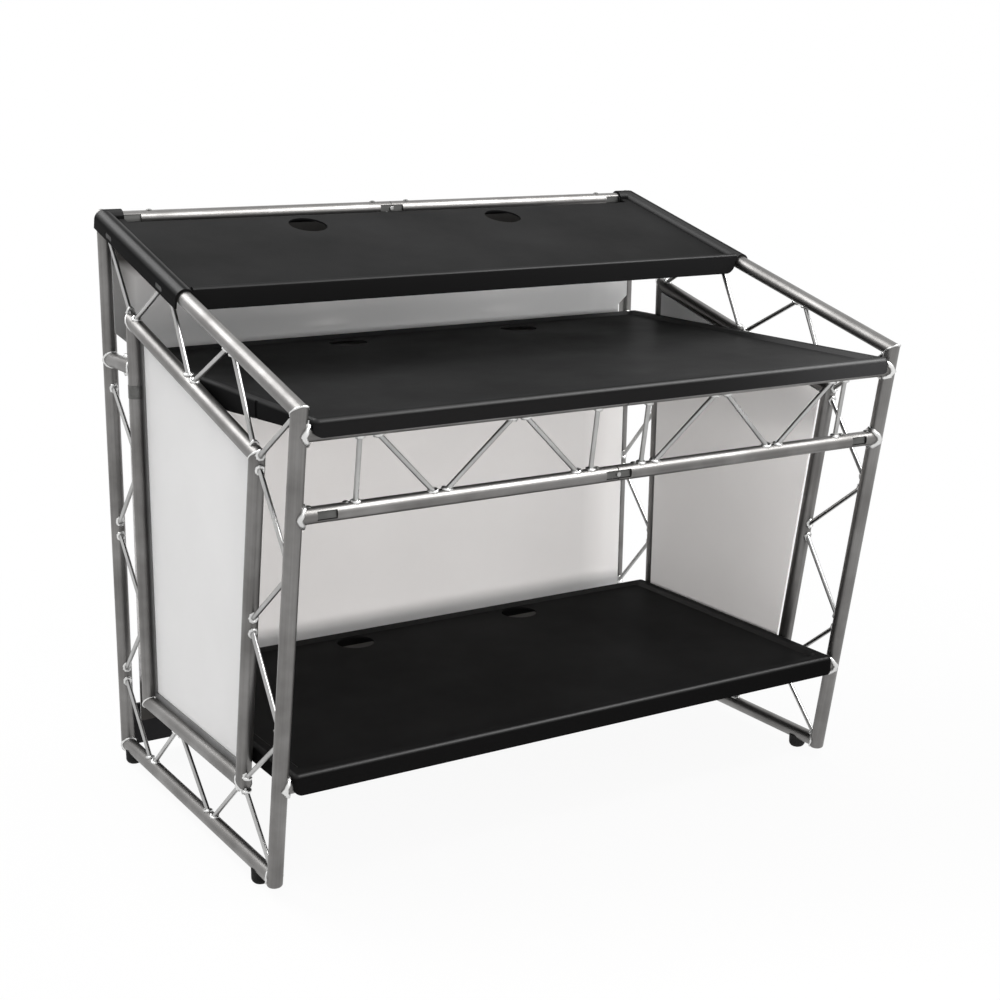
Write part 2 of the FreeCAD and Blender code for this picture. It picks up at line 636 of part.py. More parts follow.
near_side = sheet_side(-sheet_thickness / 2)
far_side = sheet_side(sheet_thickness / 2)
edge_y = (front_sheet_y - sheet_thickness / 2, front_sheet_y + sheet_thickness / 2)
left_close = Part.LineSegment(Vector(-front_sheet_half_width, edge_y[1], 0),
                              Vector(-front_sheet_half_width, edge_y[0], 0)).toShape()
right_close = Part.LineSegment(Vector(front_sheet_half_width, edge_y[0], 0),
                               Vector(front_sheet_half_width, edge_y[1], 0)).toShape()
outline = Part.Wire(Part.__sortEdges__(near_side + [right_close] + far_side + [left_close]))
sheet_bottom, sheet_top = front_sheet_z
front_sheet = Part.Face(outline).extrude(Vector(0, 0, sheet_top - sheet_bottom))
front_sheet.translate(Vector(0, 0, sheet_bottom))
notch_x = front_sheet_half_width - notch_depth
notch_end = front_sheet_half_width + 5
low_z, high_z = notch_z
slant_z = high_z + notch_slant + 5


def sheet_cut(outline):
    corners = [Vector(x, -200, z) for x, z in outline]
    return Part.Face(Part.makePolygon(corners + corners[:1])).extrude(Vector(0, 200, 0))


# A notch beside the right rung; on the left the margin stays cut back all the way down
right_notch = sheet_cut([(notch_x, low_z), (notch_x, high_z), (notch_end, slant_z), (notch_end, low_z)])
left_foot_x = front_sheet_half_width - left_cutback
left_notch = sheet_cut([(-left_foot_x, sheet_bottom - 1), (-notch_x, high_z), (-notch_end, slant_z),
                        (-notch_end, sheet_bottom - 1)])
# Both upper corners are lower than the rest, clear of the top tray's corners
relief_x = frame_half_spacing - relief_inset
relief_z = sheet_top - relief_height
right_relief = sheet_cut([(relief_x, relief_z), (relief_x, sheet_top + 1), (notch_end, sheet_top + 1), (notch_end, relief_z)])
front_sheet = one(front_sheet.cut([right_notch, left_notch, right_relief, mirrored(right_relief)]))
front_sheet.rotate(Vector(0, 0, far_bottom[1]), Vector(1, 0, 0), upright_lean)
front_sheet.translate(Vector(0, far_bottom[0], 0))
nodes["front_sheet"] = front_sheet

# Foot board between the far uprights, close to the floor
board = block(-board_half_length, board_half_length, *board_y, *board_z)
long_edges = [e for e in board.Edges if e.Length > 1000]
nodes["foot_board"] = board.makeFillet(board_round, long_edges)

# The origin is at the bottom centre of the whole object
whole = Part.makeCompound(list(nodes.values())).BoundBox
centre = Vector(-(whole.XMin + whole.XMax) / 2, -(whole.YMin + whole.YMax) / 2, -whole.ZMin)
os.makedirs("parts", exist_ok=True)
for name, shape in nodes.items():
    shape.translate(centre)
    if not shape.isValid():
        print("not valid:", name)
    shape.exportStep("parts/" + name + ".step")
print("nodes", len(nodes), "moved by", [round(v, 3) for v in centre])
print("box", [round(v, 2) for v in (whole.XLength, whole.YLength, whole.ZLength)])
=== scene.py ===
# %% [markdown]
# # A folding booth for a disc jockey
# The booth is two flat side frames of laced aluminium tube, hinged cross tubes between them, three black
# moulded trays, white plastic sheets and small rubber feet. The exact solids come ready made, so this lesson
# is about what turns them into a believable product: the camera, the light, the finishes and the weld beads.

# %% Load the solids
import bpy
import bmesh
import math
import random
from mathutils import Matrix, Vector, geometry


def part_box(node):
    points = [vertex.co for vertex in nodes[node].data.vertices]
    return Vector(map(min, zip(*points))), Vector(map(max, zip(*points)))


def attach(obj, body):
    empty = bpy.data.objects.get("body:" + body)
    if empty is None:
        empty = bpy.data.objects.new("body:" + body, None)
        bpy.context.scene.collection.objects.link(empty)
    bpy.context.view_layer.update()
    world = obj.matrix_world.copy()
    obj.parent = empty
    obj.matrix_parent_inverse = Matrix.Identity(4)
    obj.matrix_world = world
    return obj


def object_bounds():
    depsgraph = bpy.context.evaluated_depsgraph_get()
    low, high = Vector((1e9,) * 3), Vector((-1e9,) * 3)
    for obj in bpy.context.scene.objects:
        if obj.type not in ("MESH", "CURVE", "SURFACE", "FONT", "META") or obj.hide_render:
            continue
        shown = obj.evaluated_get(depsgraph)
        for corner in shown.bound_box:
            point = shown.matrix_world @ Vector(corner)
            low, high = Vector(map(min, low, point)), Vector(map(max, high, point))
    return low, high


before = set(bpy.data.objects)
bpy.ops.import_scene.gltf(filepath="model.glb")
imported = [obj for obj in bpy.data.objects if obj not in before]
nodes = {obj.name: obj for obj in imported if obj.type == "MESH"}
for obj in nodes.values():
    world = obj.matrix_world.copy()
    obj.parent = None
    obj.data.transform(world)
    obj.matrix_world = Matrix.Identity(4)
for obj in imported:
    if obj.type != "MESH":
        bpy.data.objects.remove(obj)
cad_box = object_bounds()

# %% [markdown]
# ## Camera
# The photograph was taken from the user's side, to the left and from above. The position, the heading and the
# focal length below were fitted to the tube axes, so the render can be laid over the photograph. A camera looks
# along its own -Z axis, so the matrix columns are right, up and the reversed viewing direction.

# %% Place the camera
camera_place = Vector((-1.9340, -3.1705, 1.5477))
heading = math.radians(31.679)
pitch = math.radians(14.199)
roll = math.radians(0.181)
forward = Vector((math.sin(heading) * math.cos(pitch), math.cos(heading) * math.cos(pitch), -math.sin(pitch)))
right = Vector((math.cos(heading), -math.sin(heading), 0))
upward = right.cross(forward)
right, upward = (right * math.cos(roll) + upward * math.sin(roll),
                 upward * math.cos(roll) - right * math.sin(roll))
camera = bpy.data.objects.new("camera", bpy.data.cameras.new("camera"))
bpy.context.scene.collection.objects.link(camera)
turn = Matrix((right, upward, -forward)).transposed()
camera.matrix_world = Matrix.Translation(camera_place) @ turn.to_4x4()
camera.data.sensor_fit = "HORIZONTAL"
camera.data.sensor_width = 36.0
camera.data.lens = 61.51
camera.data.shift_x = -0.0018
camera.data.shift_y = 0.0150
camera.data.clip_end = 200.0
bpy.context.scene.camera = camera
print("camera at", [round(v, 3) for v in camera_place])

# %% [markdown]
# ## Small helpers for node trees
# Every finish below is a node tree. These few lines add a node, set its values and join sockets, so that the
# cells that follow can be read as recipes.

# %% Node helpers
def add(tree, kind, **values):
    """A new node; a value is set on the input socket of that name, or else on the node itself."""
    node = tree.nodes.new(kind)
    for key, value in values.items():
        label = key.replace("_", " ")
        if label in node.inputs:
            node.inputs[label].default_value = value
        else:
            setattr(node, key, value)
    return node


def join(tree, source, target):
    tree.links.new(source, target)


def new_group(name, inputs, outputs):
    """An empty shader node group with named float or vector sockets."""
    group = bpy.data.node_groups.new(name, "ShaderNodeTree")
    for label, kind, value in inputs:
        socket = group.interface.new_socket(name=label, in_out="INPUT", socket_type=kind)
        if value is not None:
            socket.default_value = value
    for label, kind in outputs:
        group.interface.new_socket(name=label, in_out="OUTPUT", socket_type=kind)
    return group, group.nodes.new("NodeGroupInput"), group.nodes.new("NodeGroupOutput")


def spread(tree, source, low, high, start=0.0, end=1.0):
    """The source value mapped from start..end to low..high."""
    node = add(tree, "ShaderNodeMapRange", From_Min=start, From_Max=end, To_Min=low, To_Max=high)
    join(tree, source, node.inputs["Value"])
    return node.outputs["Result"]


def tint(tree, mask, dark, bright):
    """A colour between two colours, picked by a mask."""
    ramp = tree.nodes.new("ShaderNodeValToRGB")
    ramp.color_ramp.elements[0].color = (*dark, 1)
    ramp.color_ramp.elements[1].color = (*bright, 1)
    join(tree, mask, ramp.inputs["Fac"])
    return ramp.outputs["Color"]


print("node helpers ready")

# %% [markdown]
# ## Floor, world and lamps
# The photograph is a cut-out on white. For the camera, and for the rays that metal and glass send out, the world
# and the floor are plain white at a strength of 1. The rays that carry light see a softer sky instead, so the
# booth is lit at a plain level, and near the booth the floor lets a part of its own shading through, which keeps
# the contact shadow. The floor glows only for rays that see it, so it isn't sampled as a lamp, which would add grain
# to the metal.

# %% Build the world
scene = bpy.context.scene
scene.view_settings.view_transform = "Standard"


def seen_directly(tree):
    """1 for the camera's rays and for mirrored or refracted ones, 0 for the rays that carry light."""
    path = tree.nodes.new("ShaderNodeLightPath")
    mirrored = add(tree, "ShaderNodeMath", operation="MAXIMUM")
    join(tree, path.outputs["Is Camera Ray"], mirrored.inputs[0])
    join(tree, path.outputs["Is Glossy Ray"], mirrored.inputs[1])
    either = add(tree, "ShaderNodeMath", operation="MAXIMUM")
    join(tree, mirrored.outputs[0], either.inputs[0])
    join(tree, path.outputs["Is Transmission Ray"], either.inputs[1])
    return either.outputs[0]


world = bpy.data.worlds.new("studio")
scene.world = world
world.use_nodes = True
tree = world.node_tree
tree.nodes.clear()
sky_place = tree.nodes.new("ShaderNodeTexCoord")
sky_axes = tree.nodes.new("ShaderNodeSeparateXYZ")
join(tree, sky_place.outputs["Generated"], sky_axes.inputs[0])
sky_height = spread(tree, sky_axes.outputs["Z"], 0.0, 1.0, -1.0, 1.0)
sky_low, sky_high, sky_strength = (0.52, 0.52, 0.52), (0.78, 0.78, 0.78), 0.88
sky_colour = tint(tree, sky_height, sky_low, sky_high)
sky = add(tree, "ShaderNodeBackground", Strength=sky_strength)
join(tree, sky_colour, sky.inputs["Color"])
paper = add(tree, "ShaderNodeBackground", Color=(1, 1, 1, 1), Strength=1.0)
pick = tree.nodes.new("ShaderNodeMixShader")
join(tree, seen_directly(tree), pick.inputs["Fac"])
join(tree, sky.outputs[0], pick.inputs[1])
join(tree, paper.outputs[0], pick.inputs[2])
world_out = tree.nodes.new("ShaderNodeOutputWorld")
join(tree, pick.outputs[0], world_out.inputs["Surface"])
print("world", world.name)

# %% Lay the floor
floor_radius = 30.0
shadow_edge, white_edge, white_near = 0.6, 2.2, 0.93
floor_bm = bmesh.new()
bmesh.ops.create_circle(floor_bm, cap_ends=True, segments=96, radius=floor_radius)
floor_mesh = bpy.data.meshes.new("floor")
floor_bm.to_mesh(floor_mesh)
floor_bm.free()
floor = bpy.data.objects.new("floor", floor_mesh)
scene.collection.objects.link(floor)
floor_paint = bpy.data.materials.new("floor_paper")
floor_paint.use_nodes = True
tree = floor_paint.node_tree
tree.nodes.clear()
matt = add(tree, "ShaderNodeBsdfDiffuse", Color=(0.80, 0.80, 0.80, 1))
glow = add(tree, "ShaderNodeEmission", Color=(1, 1, 1, 1), Strength=1.0)
distance = add(tree, "ShaderNodeVectorMath", operation="LENGTH")
floor_place = tree.nodes.new("ShaderNodeTexCoord")
join(tree, floor_place.outputs["Object"], distance.inputs[0])
white_share = spread(tree, distance.outputs["Value"], white_near, 1.0, shadow_edge, white_edge)
seen = add(tree, "ShaderNodeMath", operation="MULTIPLY")
join(tree, seen_directly(tree), seen.inputs[0])
join(tree, white_share, seen.inputs[1])
blend = tree.nodes.new("ShaderNodeMixShader")
join(tree, seen.outputs[0], blend.inputs["Fac"])
join(tree, matt.outputs[0], blend.inputs[1])
join(tree, glow.outputs[0], blend.inputs[2])
floor_out = tree.nodes.new("ShaderNodeOutputMaterial")
join(tree, blend.outputs[0], floor_out.inputs["Surface"])
floor_paint.cycles.emission_sampling = "NONE"
floor_mesh.materials.append(floor_paint)
print("floor radius", floor_radius)

# %% [markdown]
# A tube mirrors a lamp towards the camera only when the lamp lies on a cone round the tube's axis. The soft box
# behind and to the left lies on that cone for the sloped rails; a second one in its place adds to it for the metal
# alone. The one in front, to the right, lies on the cone of the cross tubes and is for the metal alone too. Two small
# ones are kept out of the metal's reflections, because the uprights show no streak from them: one lights the front
# sheet over the main tray from the right, and a warmer one lights the sheets under it through the open side.

# %% Hang the lamps
def lamp(name, place, aim, width, height, watts, mirrored=True, lights_matt=True, colour=(1, 1, 1)):
    """An oblong soft box at a place, turned towards the point it aims at, and out of the picture."""
    light = bpy.data.lights.new(name, "AREA")
    light.shape = "RECTANGLE"
    light.size = width
    light.size_y = height
    light.energy = watts
    light.color = colour
    box = bpy.data.objects.new(name, light)
    scene.collection.objects.link(box)
    aim_way = Vector(aim) - Vector(place)
    box.matrix_world = Matrix.Translation(place) @ aim_way.to_track_quat("-Z", "Y").to_matrix().to_4x4()
    box.visible_camera = False
    box.visible_glossy = mirrored
    box.visible_diffuse = lights_matt
    return box


behind_left, front_right, booth_middle = (-1.5, 2.2, 3.9), (1.9, -1.9, 3.6), (0, 0, 0.8)
warm_white = (1, 0.955, 0.93)
lamp("soft_box_behind", behind_left, booth_middle, 2.4, 2.4, 105)
lamp("soft_box_rails", behind_left, booth_middle, 2.4, 2.4, 75, lights_matt=False)
lamp("soft_box_right", front_right, booth_middle, 3.0, 1.8, 270, lights_matt=False)
lamp("soft_box_upper_bay", (0.66, -0.75, 1.05), (0.45, 0.45, 1.06), 0.4, 0.2, 5, mirrored=False)
lamp("soft_box_lower_bay", (-0.60, -2.2, 0.62), (0.45, 0.3, 0.62), 1.2, 0.6, 37, mirrored=False,
     colour=warm_white)
print("lamps", len(bpy.data.lights))

# %% [markdown]
# ## Shared surface effects
# Drawn tube carries faint lines along its length and cloudy smudges from handling. Moulded plastic has a fine
# leathery grain and a slow change of gloss. Both effects serve several finishes, so each is a node group
# with named sockets. A group only puts out masks; the shader itself stays in the material.

# %% Drawn lines and smudges
line_squeeze = 0.012
drawn, entry, leave = new_group(
    "drawn_lines",
    [("Vector", "NodeSocketVector", None), ("Lines", "NodeSocketFloat", 240.0),
     ("Smudge Size", "NodeSocketFloat", 9.0)],
    [("Lines", "NodeSocketFloat"), ("Smudges", "NodeSocketFloat")])
squeeze = add(drawn, "ShaderNodeVectorMath", operation="MULTIPLY")
squeeze.inputs[1].default_value = (line_squeeze, 1.0, 1.0)
join(drawn, entry.outputs["Vector"], squeeze.inputs[0])
fine = add(drawn, "ShaderNodeTexNoise", Detail=3.0, Roughness=0.6)
join(drawn, squeeze.outputs[0], fine.inputs["Vector"])
join(drawn, entry.outputs["Lines"], fine.inputs["Scale"])
join(drawn, spread(drawn, fine.outputs["Fac"], 0.0, 1.0, 0.30, 0.70), leave.inputs["Lines"])
cloud = add(drawn, "ShaderNodeTexNoise", Detail=4.0, Roughness=0.55)
join(drawn, entry.outputs["Vector"], cloud.inputs["Vector"])
join(drawn, entry.outputs["Smudge Size"], cloud.inputs["Scale"])
join(drawn, spread(drawn, cloud.outputs["Fac"], 0.0, 1.0, 0.35, 0.68), leave.inputs["Smudges"])
print("group", drawn.name)

# %% Moulded grain
moulded, entry, leave = new_group(
    "moulded_grain",
    [("Vector", "NodeSocketVector", None), ("Grain", "NodeSocketFloat", 700.0),
     ("Cloud Size", "NodeSocketFloat", 3.0)],
    [("Height", "NodeSocketFloat"), ("Cloud", "NodeSocketFloat")])
pits = add(moulded, "ShaderNodeTexVoronoi", feature="SMOOTH_F1")
join(moulded, entry.outputs["Vector"], pits.inputs["Vector"])
join(moulded, entry.outputs["Grain"], pits.inputs["Scale"])
join(moulded, pits.outputs["Distance"], leave.inputs["Height"])
cloud = add(moulded, "ShaderNodeTexNoise", Detail=5.0, Roughness=0.6)
join(moulded, entry.outputs["Vector"], cloud.inputs["Vector"])
join(moulded, entry.outputs["Cloud Size"], cloud.inputs["Scale"])
join(moulded, spread(moulded, cloud.outputs["Fac"], 0.0, 1.0, 0.32, 0.70), leave.inputs["Cloud"])
print("group", moulded.name)

# %% [markdown]
# ## Finishes
# The tubes are satin aluminium. Their drawn lines must run along each tube, so the finish takes the tube's
# direction and turns the pattern with a Mapping node. Rails and cross tubes look brighter than the uprights
# in the photograph only because they face the light, so the metal itself is the same everywhere.

# %% Satin metal
def start_finish(name, metallic):
    """A material with a Principled BSDF and object coordinates."""
    finish = bpy.data.materials.new(name)
    finish.use_nodes = True
    tree = finish.node_tree
    shader = tree.nodes["Principled BSDF"]
    shader.inputs["Metallic"].default_value = metallic
    place = tree.nodes.new("ShaderNodeTexCoord")
    return finish, tree, shader, place.outputs["Object"]


def place_group(tree, group, vector, **values):
    node = add(tree, "ShaderNodeGroup", node_tree=group)
    for key, value in values.items():
        node.inputs[key.replace("_", " ")].default_value = value
    join(tree, vector, node.inputs["Vector"])
    return node


def bump(tree, shader, height, strength, depth):
    node = add(tree, "ShaderNodeBump", Strength=strength, Distance=depth)
    join(tree, height, node.inputs["Height"])
    join(tree, node.outputs["Normal"], shader.inputs["Normal"])


line_share, smudge_share, line_depth = 0.30, 0.70, 0.0003


def metal(name, direction, dark, bright, smooth, rough, lines=240.0, strength=0.006):
    """Satin metal whose drawn lines run along a direction."""
    finish, tree, shader, place = start_finish(name, 1.0)
    mapping = tree.nodes.new("ShaderNodeMapping")
    onto_x = Vector(direction).rotation_difference(Vector((1, 0, 0)))
    mapping.inputs["Rotation"].default_value = onto_x.to_euler()
    join(tree, place, mapping.inputs["Vector"])
    marks = place_group(tree, drawn, mapping.outputs["Vector"], Lines=lines)
    smudges = add(tree, "ShaderNodeMath", operation="MULTIPLY")
    smudges.inputs[1].default_value = smudge_share
    join(tree, marks.outputs["Smudges"], smudges.inputs[0])
    wear = add(tree, "ShaderNodeMath", operation="MULTIPLY_ADD")
    wear.inputs[1].default_value = line_share
    join(tree, marks.outputs["Lines"], wear.inputs[0])
    join(tree, smudges.outputs[0], wear.inputs[2])
    join(tree, tint(tree, wear.outputs[0], dark, bright), shader.inputs["Base Color"])
    join(tree, spread(tree, wear.outputs[0], rough, smooth), shader.inputs["Roughness"])
    bump(tree, shader, marks.outputs["Lines"], strength, line_depth)
    return finish


def paint(names, finish):
    """Puts a finish on CAD nodes."""
    for name in names:
        for spot in nodes[name].material_slots:
            spot.material = finish


print("metal recipe ready, bump depth", line_depth, "m")

# %% Paint the metal
tube_dark, tube_bright = (0.140, 0.136, 0.132), (0.245, 0.240, 0.235)
tube_smooth, tube_rough = 0.34, 0.46
far_way, near_way, slope_way, level_way = (0, -24, 1222), (0, -170, 958), (0, -979, -264), (0, -1, 0)
tube_ways = {"outer_far_upright": far_way, "inner_far_upright": far_way,
             "outer_near_upright": near_way, "inner_near_upright": near_way,
             "outer_sloped_rail": slope_way, "inner_sloped_rail": slope_way,
             "outer_bottom_rail": level_way, "inner_bottom_rail": level_way, "far_rung": level_way}
for piece, way in tube_ways.items():
    finish = metal("aluminium_" + piece, way, tube_dark, tube_bright, tube_smooth, tube_rough)
    paint(["left_" + piece, "right_" + piece], finish)
cross_metal = metal("aluminium_cross_tube", (1, 0, 0), tube_dark, tube_bright, tube_smooth, tube_rough)
cross_names = [n for n in nodes if "_tube_left" in n or "_tube_right" in n or n.endswith("tube_sockets")]
paint(cross_names, cross_metal)
brace_metal = metal("aluminium_brace", (0, 0, 1), (0.34, 0.34, 0.335), (0.50, 0.50, 0.495), 0.24, 0.36,
                    lines=300.0, strength=0.06)
paint([n for n in nodes if n.endswith("lacing_braces") or "truss_webs" in n], brace_metal)
hinge_metal = metal("zinc_hinge", (1, 0, 0), (0.085, 0.085, 0.082), (0.19, 0.19, 0.185), 0.28, 0.45,
                    lines=200.0, strength=0.12)
paint([n for n in nodes if "pins" in n or "tongues" in n or n == "centre_links"], hinge_metal)
strip_metal = metal("aluminium_strip", (0, 0, 1), (0.16, 0.16, 0.16), (0.25, 0.25, 0.25), 0.35, 0.55)
paint(["left_sheet_strips", "right_sheet_strips"], strip_metal)
print("metal finishes on", len(cross_names) + 2 * len(tube_ways), "nodes")

# %% [markdown]
# The trays are vacuum-formed black plastic. Floors and walls have a matt, fine grain; the rounded crowns of rims and
# lips are worn smooth by hands and catch the light. The surface normal finds them: a floor faces straight up, or up
# and towards the user on the sloped tray, a wall faces sideways, and a crown is what lies between. The walls carry
# painted shade: their colour is darker than the floor's. The one plastic is also painted at three levels of light,
# lighter on the top tray in the open and darker on the lower tray in the shade under the main tray. The foot board
# and the feet are plainer plastic and rubber.

# %% Moulded plastic
def plastic(name, dark, bright, smooth, rough, grain, strength, depth, cloud_size=3.0, gloss=0.5):
    """Moulded plastic with grain and a cloudy change of gloss."""
    finish, tree, shader, place = start_finish(name, 0.0)
    shader.inputs["Specular IOR Level"].default_value = gloss
    marks = place_group(tree, moulded, place, Grain=grain, Cloud_Size=cloud_size)
    join(tree, tint(tree, marks.outputs["Cloud"], dark, bright), shader.inputs["Base Color"])
    join(tree, spread(tree, marks.outputs["Cloud"], rough, smooth), shader.inputs["Roughness"])
    bump(tree, shader, marks.outputs["Height"], strength, depth)
    return finish


def combine(tree, operation, first, second):
    """One value from two, by a Math node's operation."""
    node = add(tree, "ShaderNodeMath", operation=operation)
    join(tree, first, node.inputs[0])
    join(tree, second, node.inputs[1])
    return node.outputs[0]


def facing(tree, way):
    """How squarely the surface faces a way: 1 for straight at it, 0 for sideways."""
    place = tree.nodes.new("ShaderNodeTexCoord")
    node = add(tree, "ShaderNodeVectorMath", operation="DOT_PRODUCT")
    node.inputs[1].default_value = way
    join(tree, place.outputs["Normal"], node.inputs[0])
    return node.outputs["Value"]


def over(tree, mask, below, colour):
    """A colour laid over another one where a mask says so."""
    node = add(tree, "ShaderNodeMix", data_type="RGBA", blend_type="MIX")
    join(tree, mask, node.inputs[0])
    join(tree, below, node.inputs[6])
    node.inputs[7].default_value = (*colour, 1)
    return node.outputs[2]


print("plastic recipe ready")

# %% Tray plastic
slope_normal, matt_gloss, crown_coat = (0, -0.260, 0.9655), 0.004, 0.32
bright_cloud, wall_painted_shade = (1.35, 1.35, 1.36), (0.40, 0.40, 0.41)


def tray_finish(name, shade):
    """Black tray plastic at a darkness that carries painted light and shade, with walls in painted shade, matt floors
    and smooth crowns.
    """
    finish = plastic(name, (shade, shade, shade), [shade * part for part in bright_cloud], smooth=0.36, rough=0.48,
                     grain=700.0, strength=0.20, depth=0.0004, gloss=matt_gloss)
    tree = finish.node_tree
    shader = tree.nodes["Principled BSDF"]
    upwards = facing(tree, (0, 0, 1))
    on_floor = combine(tree, "MAXIMUM", upwards, facing(tree, slope_normal))
    not_floor = spread(tree, on_floor, 1.0, 0.0, 0.965, 0.995)
    not_wall = spread(tree, upwards, 0.0, 1.0, 0.30, 0.70)
    is_wall = spread(tree, upwards, 1.0, 0.0, 0.30, 0.70)
    shader.inputs["Coat Roughness"].default_value = 0.40
    crown = combine(tree, "MULTIPLY", not_floor, not_wall)
    join(tree, spread(tree, crown, 0.0, crown_coat), shader.inputs["Coat Weight"])
    floor_colour = shader.inputs["Base Color"].links[0].from_socket
    # Painted shade: the walls, which face sideways, get a darker colour than the floor.
    shaded_wall_colour = [shade * part for part in wall_painted_shade]
    join(tree, over(tree, is_wall, floor_colour, shaded_wall_colour), shader.inputs["Base Color"])
    return finish


# Painted light and shade: one plastic at three levels, lighter on the top tray in the open, and on the lower tray at
# half the main tray's level, in the shade under the main tray.
tray_light_levels = {"top_tray": 0.025, "main_tray": 0.022, "lower_tray": 0.011}
for tray, shade in tray_light_levels.items():
    paint([tray], tray_finish(tray + "_black", shade))
print("trays painted", len(tray_light_levels))

# %% Foot board and feet
board_plastic = plastic("board_black", (0.010, 0.010, 0.011), (0.016, 0.016, 0.017), smooth=0.45, rough=0.60,
                        grain=500.0, strength=0.2, depth=0.0004, gloss=0.15)
paint(["foot_board"], board_plastic)
foot_rubber = plastic("foot_rubber", (0.008, 0.008, 0.008), (0.014, 0.014, 0.014), smooth=0.55, rough=0.75,
                      grain=600.0, strength=0.4, depth=0.0004, cloud_size=30.0, gloss=0.12)
paint(["left_rubber_feet", "right_rubber_feet"], foot_rubber)
print("foot board and feet painted")

# %% [markdown]
# The sheets are thin white plastic with a soft sheen. On the user's side the front sheet carries painted shade: a dark
# band along its top, in the shade of the top tray, one along its foot, in the shade under the lower tray, and a
# fainter one on the left of the upper bay, in the shade beside the upright. Its right margin carries painted light: it
# is whiter than the rest, where light comes in through the open right side. Object coordinates are the real place in
# metres, so a few Map Range nodes mark these zones, and the surface normal keeps the painted shade off the side that
# faces the audience.

# %% White sheets
def sheet_finish(name, gloss):
    """Thin white sheet plastic."""
    return plastic(name, (0.780, 0.778, 0.776), (0.830, 0.828, 0.826), smooth=0.42, rough=0.55, grain=260.0,
                   strength=0.04, depth=0.0004, cloud_size=1.5, gloss=gloss)


# Painted light white for the right margin, and the dark colour of painted shade for the bands of the front sheet.
painted_light_white, painted_shade_dark = (0.97, 0.968, 0.965), (0.085, 0.082, 0.078)
# Heights in metres of the painted shade bands: where the top one starts and is full, where the foot one is full and
# ends; and the strength of the one on the left.
top_shade_from, top_shade_full, foot_shade_full, foot_shade_to, left_shade_strength = 1.130, 1.170, 0.185, 0.205, 0.6
paint(["left_side_sheet", "right_side_sheet"], sheet_finish("side_sheet_white", 0.3))
front_plastic = sheet_finish("front_sheet_white", 0.05)
tree = front_plastic.node_tree
shader = tree.nodes["Principled BSDF"]
clean_colour = shader.inputs["Base Color"].links[0].from_socket
place = tree.nodes.new("ShaderNodeTexCoord")
axes = tree.nodes.new("ShaderNodeSeparateXYZ")
join(tree, place.outputs["Object"], axes.inputs[0])

# Masks of painted shade: on the left of the upper bay, along the top and along the foot, on the user's side only.
at_left = spread(tree, axes.outputs["X"], left_shade_strength, 0.0, -0.668, -0.640)
in_upper_bay = spread(tree, axes.outputs["Z"], 0.0, 1.0, 0.980, 1.000)
at_top = spread(tree, axes.outputs["Z"], 0.0, 1.0, top_shade_from, top_shade_full)
at_foot = spread(tree, axes.outputs["Z"], 1.0, 0.0, foot_shade_full, foot_shade_to)
on_user_side = spread(tree, facing(tree, (0, -1, 0)), 0.0, 1.0, 0.0, 0.5)
painted_sheet_shade = combine(tree, "MAXIMUM", combine(tree, "MULTIPLY", at_left, in_upper_bay), at_top)
painted_sheet_shade = combine(tree, "MAXIMUM", painted_sheet_shade, at_foot)
painted_sheet_shade = combine(tree, "MULTIPLY", painted_sheet_shade, on_user_side)
# Painted light: the right margin turns whiter, where light comes in through the open right side.
at_right = spread(tree, axes.outputs["X"], 0.0, 1.0, 0.575, 0.650)
painted_light_margin = over(tree, at_right, clean_colour, painted_light_white)
join(tree, over(tree, painted_sheet_shade, painted_light_margin, painted_shade_dark), shader.inputs["Base Color"])
paint(["front_sheet"], front_plastic)
print("sheets painted, hem from z", top_shade_from, "m upwards")

# %% [markdown]
# ## Weld beads
# Every bar and tube of the real frame is welded, and a lumpy bright bead runs round each joint. A bead follows
# the curve in which one tube meets the other, so a plain ring would float off the metal. Here a small circle is
# spun round the bar's axis, and each point of the ring then slides along the axis until it lies on the tube that
# the bar meets. The corners of the tube loops are the same as in the solids.

# %% Tube axes of a side frame
feet_low, feet_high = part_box("left_rubber_feet")
middle_of_feet = (-0.042 - 0.767) / 2
depth_shift = (feet_low[1] + feet_high[1]) / 2 - middle_of_feet
frame_x, tube_r, brace_r = 0.700, 0.016, 0.005


def point(depth, height):
    """A point of the side frame's plane, from a depth that counts from the far feet."""
    return Vector((0, depth + depth_shift, height))


def crossing(first, second):
    """Where two lines of the side frame's plane meet, each given by two points."""
    return geometry.intersect_line_line(*first, *second)[0]


def loop_inside(corners, gaps):
    """The corners of a loop that lies inside another one, at a given gap along each side."""
    middle = sum(corners, Vector()) / len(corners)
    sides = []
    for i, gap in enumerate(gaps):
        a, b = corners[i], corners[(i + 1) % len(corners)]
        inwards = Vector((1, 0, 0)).cross(b - a).normalized()
        if inwards.dot(middle - a) < 0:
            inwards = -inwards
        sides.append((a + inwards * gap, b + inwards * gap))
    return [crossing(sides[i - 1], sides[i]) for i in range(len(sides))]


outer = [point(-0.004, 0.036), point(-0.028, 1.258), point(-1.007, 0.994), point(-0.837, 0.036)]
far_bottom, far_top, near_top, near_bottom = outer
inner = loop_inside(outer, (0.160, 0.160, 0.167, 0.154))
in_far_bottom, in_far_top, in_near_top, in_near_bottom = inner
print("inner loop", [[round(c, 3) for c in corner] for corner in inner])

# %% One bead
random.seed(7)
bead_sections, bead_steps, bead_sink = 6, 20, 0.985


def gather(target, part):
    """Moves the faces of one bmesh into another."""
    mesh = bpy.data.meshes.new("gathered")
    part.to_mesh(mesh)
    part.free()
    target.from_mesh(mesh)
    bpy.data.meshes.remove(mesh)


def leaves_tube(way, offset, line):
    """How far along its way a bar's side line, at an offset from its axis, comes out of a tube along a line."""
    a = way - line * way.dot(line)
    b = offset - line * offset.dot(line)
    root = a.dot(b) ** 2 - a.dot(a) * (b.dot(b) - tube_r ** 2)
    return (math.sqrt(max(root, 0)) - a.dot(b)) / a.dot(a)


